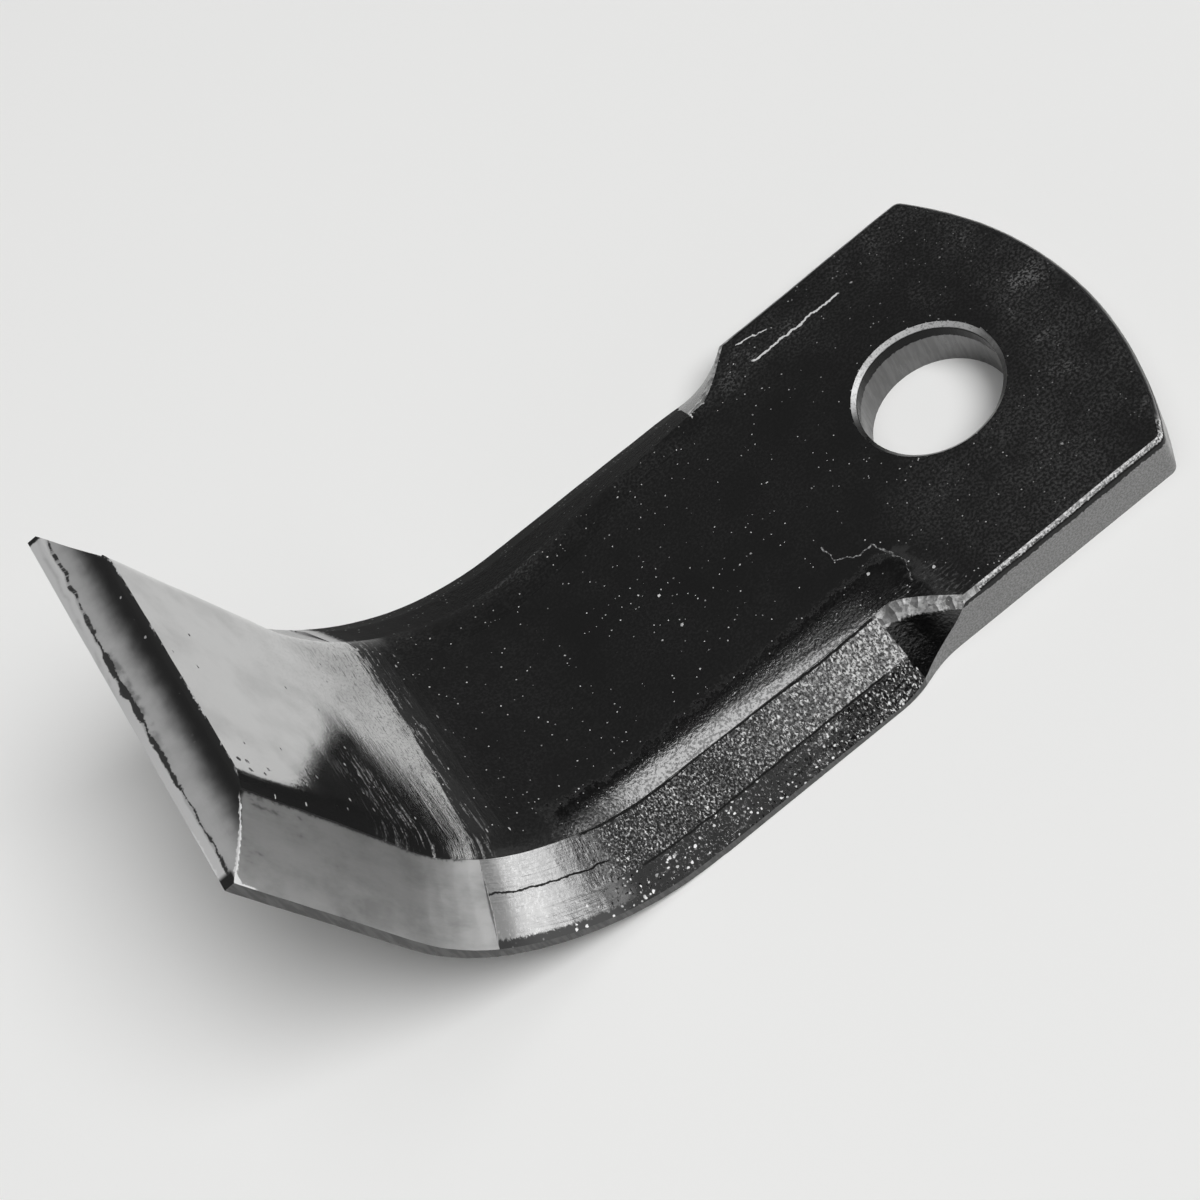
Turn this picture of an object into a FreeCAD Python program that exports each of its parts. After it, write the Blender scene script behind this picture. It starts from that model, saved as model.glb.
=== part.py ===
import FreeCAD, Part
import math
import os

from FreeCAD import Placement, Rotation, Vector
from Part import ArcOfCircle, Circle, LineSegment
from Sketcher import Constraint

# Forged mulcher blade, in millimetres. A flat shank with a bolt bore in its rounded head
# runs into a wide bend and a wing that stands up. Both long sides are bevelled.
# The origin is the centre of the bore on the flat underside, +Z runs up the bore,
# +X points to the rounded end of the head and the wing stands at the -X end.

SIZES = {
    # flat bar
    "thickness": 8.0,
    # head
    "bore_diameter": 20.5,
    "bore_chamfer": 0.7,
    "head_width": 60.0,
    "head_reach": 24.7,
    "head_arc_radius": 58.0,
    "head_corner_radius": 1.6,
    "head_rim_radius": 0.8,
    # scoops behind the head, where the bevels run out
    "scoop_foot": 26.2,
    "scoop_axis_height": 14.5,
    # bevelled sides
    "edge_overhang": 2.1,
    "edge_flare_start": 20.0,
    "edge_flare_length": 11.0,
    "neck_edge_height": 0.7,
    "bend_edge_height": 1.3,
    "lower_bevel_width": 3.6,
    "ridge_height": 3.75,
    "crease_step": 0.2,
    "roll_radius": 8.5,
    "neck_bevel_width": 5.4,
    "neck_roll_width": 0.8,
    "bend_bevel_width": 6.6,
    "bend_roll_width": 3.7,
    # bend and wing
    "bend_start": 60.2,
    "bend_radius": 29.3,
    "bend_angle": 76.0,
    "grinding_start_angle": 54.0,
    "wing_length": 30.2,
    "tip_lean": 1.8,
    "tip_strip": 1.6,
    "tip_hollow_radius": 9.0,
}


class Formula:
    """A length or an angle worked out from the sheet: its number and its expression."""

    def __init__(self, value, text):
        self.value = value
        self.text = text

    def joined(self, sign, other, value):
        text = other.text if isinstance(other, Formula) else repr(other)
        return Formula(value, f"({self.text} {sign} {text})")

    def __add__(self, other):
        return self.joined("+", other, self.value + number(other))

    def __sub__(self, other):
        return self.joined("-", other, self.value - number(other))

    def __mul__(self, other):
        return self.joined("*", other, self.value * number(other))

    def __truediv__(self, other):
        return self.joined("/", other, self.value / number(other))

    def __neg__(self):
        return Formula(-self.value, f"(-1 * {self.text})")


def number(term):
    return term.value if isinstance(term, Formula) else term


def sine(angle):
    return Formula(math.sin(math.radians(angle.value)), f"sin({angle.text})")


def cosine(angle):
    return Formula(math.cos(math.radians(angle.value)), f"cos({angle.text})")


def square_root(term):
    return Formula(math.sqrt(term.value), f"sqrt({term.text})")


ZERO = Formula(0.0, "0")
QUARTER_TURN = Formula(90.0, "90")


class Outline:
    """A closed outline of lines and arcs whose corners and radii are bound to the sheet."""

    def __init__(self, x, y):
        self.corners = [(x, y)]
        self.arcs = []

    def line(self, x, y):
        self.corners.append((x, y))
        self.arcs.append(None)
        return self

    def arc(self, x, y, radius, turn):
        """turn is 1 where the arc runs anticlockwise to its end, and -1 where it runs clockwise."""
        self.corners.append((x, y))
        self.arcs.append((radius, turn))
        return self

    def close(self):
        self.arcs.append(None)
        return self

    def close_arc(self, radius, turn):
        self.arcs.append((radius, turn))
        return self

    def draw(self, sketch):
        ends = []
        for index, arc in enumerate(self.arcs):
            start = self.corners[index]
            stop = self.corners[(index + 1) % len(self.corners)]
            ends.append(draw_edge(sketch, start, stop, arc))
        for index, (x, y) in enumerate(self.corners):
            edge, first, _ = ends[index]
            before, _, last = ends[index - 1]
            sketch.addConstraint(Constraint("Coincident", before, last, edge, first))
            pin(sketch, "DistanceX", edge, first, x)
            pin(sketch, "DistanceY", edge, first, y)


def pin(sketch, kind, edge, point, term):
    """Holds one coordinate of a sketch point at a value from the sheet."""
    if term is ZERO:
        axis = -2 if kind == "DistanceX" else -1
        sketch.addConstraint(Constraint("PointOnObject", edge, point, axis))
        return
    held = sketch.addConstraint(Constraint(kind, -1, 1, edge, point, term.value))
    sketch.setExpression(f"Constraints[{held}]", term.text)


def draw_edge(sketch, start, stop, arc):
    """Adds a line or an arc, and returns its number with its first and last point's numbers."""
    a = Vector(start[0].value, start[1].value, 0)
    b = Vector(stop[0].value, stop[1].value, 0)
    if arc is None:
        return sketch.addGeometry(LineSegment(a, b), False), 1, 2
    radius, turn = arc
    chord = b - a
    rise = math.sqrt(radius.value**2 - (chord.Length / 2) ** 2)
    across = Vector(-chord.y, chord.x, 0).normalize()
    centre = (a + b) / 2 + across * rise * turn
    first, last = (a, b) if turn > 0 else (b, a)
    circle = Circle(centre, Vector(0, 0, 1), radius.value)
    from_angle = math.atan2(first.y - centre.y, first.x - centre.x)
    to_angle = math.atan2(last.y - centre.y, last.x - centre.x)
    edge = sketch.addGeometry(ArcOfCircle(circle, from_angle, to_angle), False)
    held = sketch.addConstraint(Constraint("Radius", edge, radius.value))
    sketch.setExpression(f"Constraints[{held}]", radius.text)
    return (edge, 1, 2) if turn > 0 else (edge, 2, 1)


def add_sheet(doc):
    """Writes the sizes into the sheet and returns them as formulas."""
    sheet = doc.addObject("Spreadsheet::Sheet", "Sizes")
    for row, (name, value) in enumerate(SIZES.items(), start=1):
        sheet.set(f"A{row}", name)
        sheet.set(f"B{row}", str(value))
        sheet.setAlias(f"B{row}", name)
    doc.recompute()
    return {name: Formula(value, f"Sizes.{name}") for name, value in SIZES.items()}


def add_sketch(body, name, role):
    """A sketch on one of the body's own origin planes."""
    sketch = body.newObject("Sketcher::SketchObject", name)
    plane = next(item for item in body.Origin.OriginFeatures if item.Role == role)
    sketch.AttachmentSupport = [(plane, "")]
    sketch.MapMode = "FlatFace"
    return sketch


def add_cross_sketch(body, name, x, height, tilt=None):
    """A sketch across the bar with its origin at x and height, tilted about its own X axis."""
    sketch = add_sketch(body, name, "YZ_Plane")
    angle = 0.0 if tilt is None else tilt.value
    sketch.AttachmentOffset = Placement(Vector(0, height.value, x.value), Rotation(Vector(1, 0, 0), angle))
    sketch.setExpression("AttachmentOffset.Base.y", height.text)
    sketch.setExpression("AttachmentOffset.Base.z", x.text)
    if tilt is not None:
        sketch.setExpression("AttachmentOffset.Rotation.Angle", tilt.text)
    return sketch


def edge_reach(size):
    """How far the blunt edges stand from the middle of the bar."""
    return size["head_width"] / 2 + size["edge_overhang"]


def ridge_reach(size):
    """How far the ridges between the upper and lower bevels stand from the middle of the bar."""
    return edge_reach(size) - size["lower_bevel_width"]


def half_section(size, bevel_width, roll_width, edge_height, ridged):
    """Right half of the bar's section, from the flat top over the shoulder to the blunt edge."""
    crease = ridge_reach(size) - bevel_width
    flat = crease - roll_width
    roll = size["roll_radius"]
    drop = roll - square_root(roll * roll - roll_width * roll_width)
    shoulder = size["thickness"] - drop
    corners = [(flat, size["thickness"]), (crease, shoulder), (crease, shoulder - size["crease_step"])]
    if ridged:
        corners.append((ridge_reach(size), size["ridge_height"]))
    corners.append((edge_reach(size), edge_height))
    corners.append((edge_reach(size), ZERO))
    return corners


def neck_section(size):
    return half_section(size, size["neck_bevel_width"], size["neck_roll_width"], size["neck_edge_height"], True)


def bend_section(size, ridged):
    return half_section(size, size["bend_bevel_width"], size["bend_roll_width"], size["bend_edge_height"], ridged)


def draw_section(sketch, size, half, sunk=ZERO):
    """Both halves of a section, sunk below the sketch's origin."""
    right = [(x, y - sunk) for x, y in half]
    outline = Outline(-right[0][0], right[0][1])
    outline.line(*right[0])
    outline.arc(*right[1], size["roll_radius"], -1)
    for x, y in right[2:]:
        outline.line(x, y)
    for x, y in reversed(right[1:]):
        outline.line(-x, y)
    outline.close_arc(size["roll_radius"], -1)
    outline.draw(sketch)


def set_terms(feature, **terms):
    for name, term in terms.items():
        setattr(feature, name, term.value)
        feature.setExpression(name, term.text)


def add_feature(doc, body, kind, name, profile, **terms):
    """Adds a solid feature, binds its sizes and checks that it changed the volume the right way."""
    before = body.Tip.Shape.Volume if body.Tip else 0.0
    feature = body.newObject(f"PartDesign::{kind}", name)
    feature.Profile = profile
    reversed_way = terms.pop("reversed_way", False)
    axis = terms.pop("axis", None)
    through = terms.pop("through", False)
    both_ways = terms.pop("both_ways", False)
    sections = terms.pop("sections", None)
    if axis is not None:
        feature.ReferenceAxis = (profile, [axis])
    if sections is not None:
        feature.Sections = sections
        feature.Ruled = True
    if through:
        feature.Type = "ThroughAll"
    if both_ways:
        feature.Midplane = True
    if reversed_way:
        feature.Reversed = True
    set_terms(feature, **terms)
    doc.recompute()
    change = feature.Shape.Volume - before
    cuts = kind in ("Pocket", "Groove")
    if (change > -1e-3) if cuts else (change < 1e-3):
        raise RuntimeError(f"{name} changes nothing")
    return feature


def add_shank(doc, body, size):
    """The bevelled bar from behind the head to the start of the bend."""
    neck = add_cross_sketch(body, "neck_section", -size["scoop_foot"], ZERO)
    draw_section(neck, size, neck_section(size))
    start = add_cross_sketch(body, "shank_end_section", -size["bend_start"], ZERO)
    draw_section(start, size, bend_section(size, True))
    return add_feature(doc, body, "AdditiveLoft", "shank", neck, sections=[start])


def add_bend_and_wing(doc, body, size):
    """The bend, whose sides are ground flat from part of the way round, and the straight wing."""
    axis_height = size["bend_radius"] + size["thickness"]
    grinding = size["grinding_start_angle"]

    rolled = add_cross_sketch(body, "bend_section", -size["bend_start"], axis_height)
    draw_section(rolled, size, bend_section(size, True), axis_height)
    add_feature(doc, body, "Revolution", "rolled_bend", rolled, axis="H_Axis", Angle=grinding)

    ground = add_cross_sketch(body, "ground_section", -size["bend_start"], axis_height, grinding)
    draw_section(ground, size, bend_section(size, False), axis_height)
    rest = size["bend_angle"] - grinding
    add_feature(doc, body, "Revolution", "ground_bend", ground, axis="H_Axis", Angle=rest)

    wing = add_cross_sketch(body, "wing_section", -size["bend_start"], axis_height, size["bend_angle"])
    draw_section(wing, size, bend_section(size, False), axis_height)
    length = size["wing_length"] + size["tip_lean"] * 2
    add_feature(doc, body, "Pad", "wing", wing, reversed_way=True, Length=length)

    tip = add_sketch(body, "tip_profile", "XZ_Plane")
    crease = wing_point(size, size["wing_length"], ZERO)
    strip_share = size["tip_strip"] / size["thickness"]
    strip_along = size["wing_length"] + size["tip_lean"] - size["tip_lean"] * strip_share
    strip = wing_point(size, strip_along, size["thickness"] - size["tip_strip"])
    outer = wing_point(size, size["wing_length"] + size["tip_lean"], size["thickness"])
    below = wing_point(size, size["wing_length"] + size["tip_lean"], size["thickness"] * 2)
    beyond = size["wing_length"] + size["tip_lean"] * 3
    beyond_below = wing_point(size, beyond, size["thickness"] * 2)
    beyond_above = wing_point(size, beyond, -size["thickness"])
    above = wing_point(size, size["wing_length"], -size["thickness"])
    outline = Outline(*crease)
    outline.arc(*strip, size["tip_hollow_radius"], -1)
    outline.line(*outer)
    outline.line(*below)
    outline.line(*beyond_below)
    outline.line(*beyond_above)
    outline.line(*above)
    outline.close().draw(tip)
    return add_feature(doc, body, "Pocket", "tip", tip, through=True, both_ways=True)


def wing_point(size, along, outward):
    """A point in the XZ plane, along the wing from the bend and outward from its inner face."""
    angle = size["bend_angle"]
    radius = size["bend_radius"]
    x = -(size["bend_start"] + sine(angle) * (radius + outward) + cosine(angle) * along)
    y = size["thickness"] + radius - cosine(angle) * (radius + outward) + sine(angle) * along
    return x, y


def add_head(doc, body, size):
    """The full-thickness head, cut to its plan outline, with its bore."""
    half = size["head_width"] / 2
    edge = edge_reach(size)
    foot = -size["scoop_foot"]
    blank = add_sketch(body, "head_blank", "XY_Plane")
    outline = Outline(foot, -edge)
    outline.line(size["head_width"], -edge)
    outline.line(size["head_width"], edge)
    outline.line(foot, edge)
    outline.close().draw(blank)
    add_feature(doc, body, "Pad", "head", blank, Length=size["thickness"])

    flare_start = -size["edge_flare_start"]
    flare_end = flare_start - size["edge_flare_length"]
    flare_middle = flare_start - size["edge_flare_length"] / 2
    rise = size["edge_overhang"]
    length = size["edge_flare_length"]
    flare_radius = (length * length + rise * rise) / (rise * 4)
    between = (edge + half) / 2
    outside = size["head_width"]
    arc_radius = size["head_arc_radius"]
    corner = size["head_reach"] - arc_radius + square_root(arc_radius * arc_radius - half * half)
    plan = add_sketch(body, "plan_outline", "XY_Plane")
    trim = Outline(flare_end, -outside)
    trim.line(flare_end, -edge)
    trim.arc(flare_middle, -between, flare_radius, 1)
    trim.arc(flare_start, -half, flare_radius, -1)
    trim.line(corner, -half)
    trim.arc(corner, half, arc_radius, 1)
    trim.line(flare_start, half)
    trim.arc(flare_middle, between, flare_radius, -1)
    trim.arc(flare_end, edge, flare_radius, 1)
    trim.line(flare_end, outside)
    trim.line(outside * 2, outside)
    trim.line(outside * 2, -outside)
    trim.close().draw(plan)
    add_feature(doc, body, "Pocket", "plan", plan, through=True, reversed_way=True)

    circle = add_sketch(body, "bore_circle", "XY_Plane")
    ring = circle.addGeometry(Circle(Vector(0, 0, 0), Vector(0, 0, 1), size["bore_diameter"].value / 2), False)
    circle.addConstraint(Constraint("Coincident", ring, 3, -1, 1))
    held = circle.addConstraint(Constraint("Diameter", ring, size["bore_diameter"].value))
    circle.setExpression(f"Constraints[{held}]", size["bore_diameter"].text)
    return add_feature(doc, body, "Pocket", "bore", circle, through=True, reversed_way=True)


def add_scoops(doc, body, size):
    """The round run-outs that the bevels leave behind the head, one on each side."""
    height = size["scoop_axis_height"]
    wide = edge_reach(size) + size["thickness"]
    for side, name in ((1, "left"), (-1, "right")):
        sketch = add_cross_sketch(body, f"{name}_scoop_section", -size["scoop_foot"], height)
        half = neck_section(size)
        corners = [(half[2][0], ZERO)]
        corners += [(x, y - height) for x, y in half[2:-1]]
        corners += [(wide, size["neck_edge_height"] - height), (wide, ZERO)]
        if side < 0:
            corners = [(-x, y) for x, y in corners]
        outline = Outline(*corners[0])
        for x, y in corners[1:]:
            outline.line(x, y)
        outline.close().draw(sketch)
        groove = add_feature(
            doc, body, "Groove", f"{name}_scoop", sketch, axis="H_Axis", reversed_way=True, Angle=QUARTER_TURN
        )
    return groove


def edges_where(shape, wanted):
    """Names of the edges whose middle point and two ends all pass the test."""
    names = []
    for index, edge in enumerate(shape.Edges, start=1):
        middle = edge.valueAt((edge.FirstParameter + edge.LastParameter) / 2)
        points = [middle] + [vertex.Point for vertex in edge.Vertexes]
        if all(wanted(point) for point in points):
            names.append(f"Edge{index}")
    return names


def add_dressing(doc, body, kind, name, wanted, term):
    """A fillet or a chamfer on the edges that pass the test."""
    base = body.Tip
    edges = edges_where(base.Shape, wanted)
    if not edges:
        raise RuntimeError(f"{name} finds no edges")
    feature = body.newObject(f"PartDesign::{kind}", name)
    feature.Base = (base, edges)
    set_terms(feature, **{"Radius" if kind == "Fillet" else "Size": term})
    doc.recompute()
    if not feature.Shape.Volume < base.Shape.Volume:
        raise RuntimeError(f"{name} changes nothing")
    return feature


def add_edges(doc, body, size):
    """The rounded and chamfered edges of the head, the scoops and the bore."""
    top = size["thickness"].value
    half = size["head_width"].value / 2
    crease = (ridge_reach(size) - size["neck_bevel_width"]).value
    bore = size["bore_diameter"].value / 2
    foot = -size["scoop_foot"].value
    slack = 0.01

    def on_corner(point):
        return point.x > bore and abs(abs(point.y) - half) < slack

    def on_bore_rim(point):
        return abs(point.z - top) < slack and math.hypot(point.x, point.y) < bore + slack

    def on_head_rim(point):
        beside = abs(point.y) > crease - slack
        end = point.x > bore + slack
        return abs(point.z - top) < slack and point.x > foot + slack and (beside or end)

    add_dressing(doc, body, "Fillet", "head_corners", on_corner, size["head_corner_radius"])
    add_dressing(doc, body, "Fillet", "head_rim", on_head_rim, size["head_rim_radius"])
    return add_dressing(doc, body, "Chamfer", "bore_rim", on_bore_rim, size["bore_chamfer"])


def build(doc):
    size = add_sheet(doc)
    body = doc.addObject("PartDesign::Body", "blade")
    body.Label = "blade"
    add_shank(doc, body, size)
    add_bend_and_wing(doc, body, size)
    add_head(doc, body, size)
    add_scoops(doc, body, size)
    add_edges(doc, body, size)
    return body


def check(doc):
    """Stops where an object failed."""
    for item in doc.Objects:
        if "Invalid" in item.State or "Error" in item.State:
            raise RuntimeError(f"{item.Label} failed: {item.State}")


doc = FreeCAD.newDocument("mulcher_blade")
blade = build(doc)
doc.recompute()
check(doc)
shape = blade.Shape
if shape.isNull() or not shape.isValid():
    raise RuntimeError("blade has no sound shape")
print("blade", "solids", len(shape.Solids), "faces", len(shape.Faces), "volume", round(shape.Volume, 1))
print("box", shape.BoundBox)
os.makedirs("parts", exist_ok=True)
shape.exportStep(os.path.join("parts", f"{blade.Label}.step"))
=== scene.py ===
"""Looks of a forged mulcher blade: studio, camera and the dressed steel of its one piece."""

import logging
import math
from dataclasses import dataclass
from enum import IntEnum

import bmesh
import bpy
from mathutils import Matrix, Vector, kdtree, noise

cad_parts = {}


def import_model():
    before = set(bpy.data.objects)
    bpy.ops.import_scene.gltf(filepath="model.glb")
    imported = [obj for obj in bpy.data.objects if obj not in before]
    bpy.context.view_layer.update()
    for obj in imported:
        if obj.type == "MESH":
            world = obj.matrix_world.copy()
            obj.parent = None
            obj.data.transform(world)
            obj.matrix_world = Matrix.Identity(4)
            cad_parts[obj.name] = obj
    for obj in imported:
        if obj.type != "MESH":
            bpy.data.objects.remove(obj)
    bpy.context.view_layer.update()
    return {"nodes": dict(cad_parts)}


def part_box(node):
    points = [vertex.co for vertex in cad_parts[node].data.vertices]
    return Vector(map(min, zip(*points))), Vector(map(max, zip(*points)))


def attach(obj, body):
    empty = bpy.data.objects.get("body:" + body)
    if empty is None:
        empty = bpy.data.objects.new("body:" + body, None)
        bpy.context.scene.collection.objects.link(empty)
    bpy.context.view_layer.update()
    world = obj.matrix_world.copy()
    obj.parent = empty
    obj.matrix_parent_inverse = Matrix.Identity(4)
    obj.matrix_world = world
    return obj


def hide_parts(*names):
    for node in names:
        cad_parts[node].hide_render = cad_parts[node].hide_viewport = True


log = logging.getLogger("mulcher_blade")

MM = 0.001
# A lamp that stands lower than this, in metres, is turned to the blade.
LOW_LAMP = 0.8
# Where the scoop ends and the bend starts along the bar, in millimetres from the bore.
SCOOP_END = 26.2
BEND_START = 60.2

Socket = bpy.types.NodeSocket


class Region(IntEnum):
    """Parts of the blade's skin that were made or worn in different ways."""

    FACE = 0
    SHOULDER = 1
    UPPER_BEVEL = 2
    LOWER_BEVEL = 3
    BLUNT_EDGE = 4
    GROUND_SIDE = 5
    HEAD_SIDE = 6
    SCOOP = 7
    TIP = 8
    BORE = 9
    BACK = 10


def linear(code: str) -> tuple[float, float, float, float]:
    """Turns an sRGB hex colour into linear values.

    Args:
        code: Colour such as "#1c1d1f".

    Returns:
        Red, green, blue and an alpha of 1.
    """
    values = []
    for start in (1, 3, 5):
        share = int(code[start : start + 2], 16) / 255
        values.append(share / 12.92 if share <= 0.04045 else ((share + 0.055) / 1.055) ** 2.4)
    return values[0], values[1], values[2], 1.0


def clamp(value: float) -> float:
    """Holds a value between 0 and 1."""
    return min(max(value, 0.0), 1.0)


def add_node(tree: bpy.types.NodeTree, kind: str, settings: dict | None = None, **links: object) -> bpy.types.Node:
    """Adds a shader node with its settings, values and links.

    Args:
        tree: Node tree that gets the node.
        kind: Node type without its "ShaderNode" prefix, such as "Math".
        settings: Attributes of the node; a key that starts with "in:" is an input's name or number.
        links: Output sockets by input name, with "_" for a space and "n0" for input number 0.

    Returns:
        The new node.
    """
    node = tree.nodes.new("ShaderNode" + kind)
    for name, value in (settings or {}).items():
        if name.startswith("in:"):
            key = name[3:]
            node.inputs[int(key) if key.isdigit() else key].default_value = value
        else:
            setattr(node, name, value)
    for name, socket in links.items():
        key = int(name[1:]) if name[0] == "n" and name[1:].isdigit() else name.replace("_", " ")
        tree.links.new(socket, node.inputs[key])
    return node


@dataclass(frozen=True)
class PhotoCamera:
    """The camera that took the picture, as fitted to the blade's corners."""

    position: tuple[float, float, float] = (-51.063 * MM, -190.620 * MM, 256.048 * MM)
    right: tuple[float, float, float] = (0.77589, -0.49089, -0.39626)
    down: tuple[float, float, float] = (-0.63085, -0.60826, -0.48171)
    ahead: tuple[float, float, float] = (-0.00457, 0.62374, -0.78162)
    lens_mm: float = 69.357

    def place(self) -> None:
        """Adds the camera and makes it the scene's own."""
        data = bpy.data.cameras.new("camera")
        data.lens = self.lens_mm
        data.sensor_width = 36.0
        data.clip_start = 0.01
        camera = bpy.data.objects.new("camera", data)
        bpy.context.scene.collection.objects.link(camera)
        axes = Matrix((Vector(self.right), -Vector(self.down), -Vector(self.ahead))).transposed()
        camera.matrix_world = Matrix.Translation(Vector(self.position)) @ axes.to_4x4()
        bpy.context.scene.camera = camera


@dataclass(frozen=True)
class Lamp:
    """A flat soft light in the room."""

    name: str
    place: tuple[float, float, float]
    width: float
    depth: float
    radiance: float
    lights_table: bool = True

    def hang(self) -> None:
        """Adds the light, level if it hangs high and turned to the blade if it stands low."""
        data = bpy.data.lights.new(self.name, "AREA")
        data.shape = "RECTANGLE"
        data.size = self.width
        data.size_y = self.depth
        data.energy = self.radiance * math.pi * self.width * self.depth
        light = bpy.data.objects.new(self.name, data)
        light.location = self.place
        if self.place[2] < LOW_LAMP:
            light.rotation_euler = Vector(self.place).to_track_quat("Z", "Y").to_euler()
        light.visible_diffuse = self.lights_table
        bpy.context.scene.collection.objects.link(light)


@dataclass
class Studio:
    """A pale table in a dim room, under a wide softbox, with a pale panel past the head's end."""

    floor_size: float = 8.0
    table: str = "#f1f1f0"
    room: str = "#242424"
    horizon: str = "#e9e9e8"
    softbox: Lamp = Lamp("softbox", (-0.05, -0.245, 1.0), 0.80, 0.96, 1.30)
    panel: Lamp = Lamp("panel", (1.08, -0.39, 0.42), 0.75, 0.76, 1.30, lights_table=False)
    dim_corner: tuple[float, float, float] = (0.743, 0.669, 0.0)
    window_side: tuple[float, float, float] = (0.55, -0.72, 1.20)
    window_softness: float = math.radians(32.0)
    window_strength: float = 2.45

    def build(self) -> None:
        """Makes the table, the lamps and the room."""
        self.build_table()
        self.softbox.hang()
        self.panel.hang()
        self.build_window()
        self.build_room()

    def build_window(self) -> None:
        """Adds the soft daylight from one side, which throws the blade's shadow."""
        data = bpy.data.lights.new("window", "SUN")
        data.angle = self.window_softness
        data.energy = self.window_strength
        light = bpy.data.objects.new("window", data)
        light.rotation_euler = Vector(self.window_side).to_track_quat("Z", "Y").to_euler()
        light.visible_glossy = False
        bpy.context.scene.collection.objects.link(light)

    def build_table(self) -> None:
        """Lays the table's top at the height of the blade's underside."""
        shape = bmesh.new()
        bmesh.ops.create_grid(shape, x_segments=1, y_segments=1, size=self.floor_size / 2)
        mesh = bpy.data.meshes.new("table")
        shape.to_mesh(mesh)
        shape.free()
        table = bpy.data.objects.new("table", mesh)
        bpy.context.scene.collection.objects.link(table)
        finish = bpy.data.materials.new("matt_white_table_paint")
        finish.use_nodes = True
        paint = finish.node_tree.nodes["Principled BSDF"]
        paint.inputs["Base Color"].default_value = linear(self.table)
        paint.inputs["Roughness"].default_value = 0.9
        paint.inputs["Specular IOR Level"].default_value = 0.1
        mesh.materials.append(finish)

    def build_room(self) -> None:
        """Gives the room its dim light, with a pale wall low down behind the table."""
        world = bpy.data.worlds.new("room")
        bpy.context.scene.world = world
        world.use_nodes = True
        tree = world.node_tree
        place = add_node(tree, "TexCoord")
        parts = add_node(tree, "SeparateXYZ", None, Vector=place.outputs["Generated"])
        # One corner of the room, which the bend mirrors, is dark down to the table.
        corner = add_node(
            tree, "VectorMath", {"operation": "DOT_PRODUCT", "in:1": self.dim_corner}, n0=place.outputs["Generated"]
        )
        dark = {"interpolation_type": "SMOOTHSTEP", "in:From Min": 0.70, "in:From Max": 0.92}
        door = add_node(tree, "MapRange", dark | {"in:To Max": 0.17}, Value=corner.outputs["Value"])
        level = add_node(tree, "Math", {"operation": "ADD"}, n0=parts.outputs[2], n1=door.outputs[0])
        low_wall = {"interpolation_type": "SMOOTHSTEP", "in:From Min": 0.14, "in:From Max": 0.36}
        rise = add_node(tree, "MapRange", low_wall, Value=level.outputs[0])
        walls = {"data_type": "RGBA", "in:6": linear(self.horizon), "in:7": linear(self.room)}
        wall = add_node(tree, "Mix", walls, n0=rise.outputs[0])
        tree.links.new(wall.outputs[2], tree.nodes["Background"].inputs["Color"])


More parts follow.
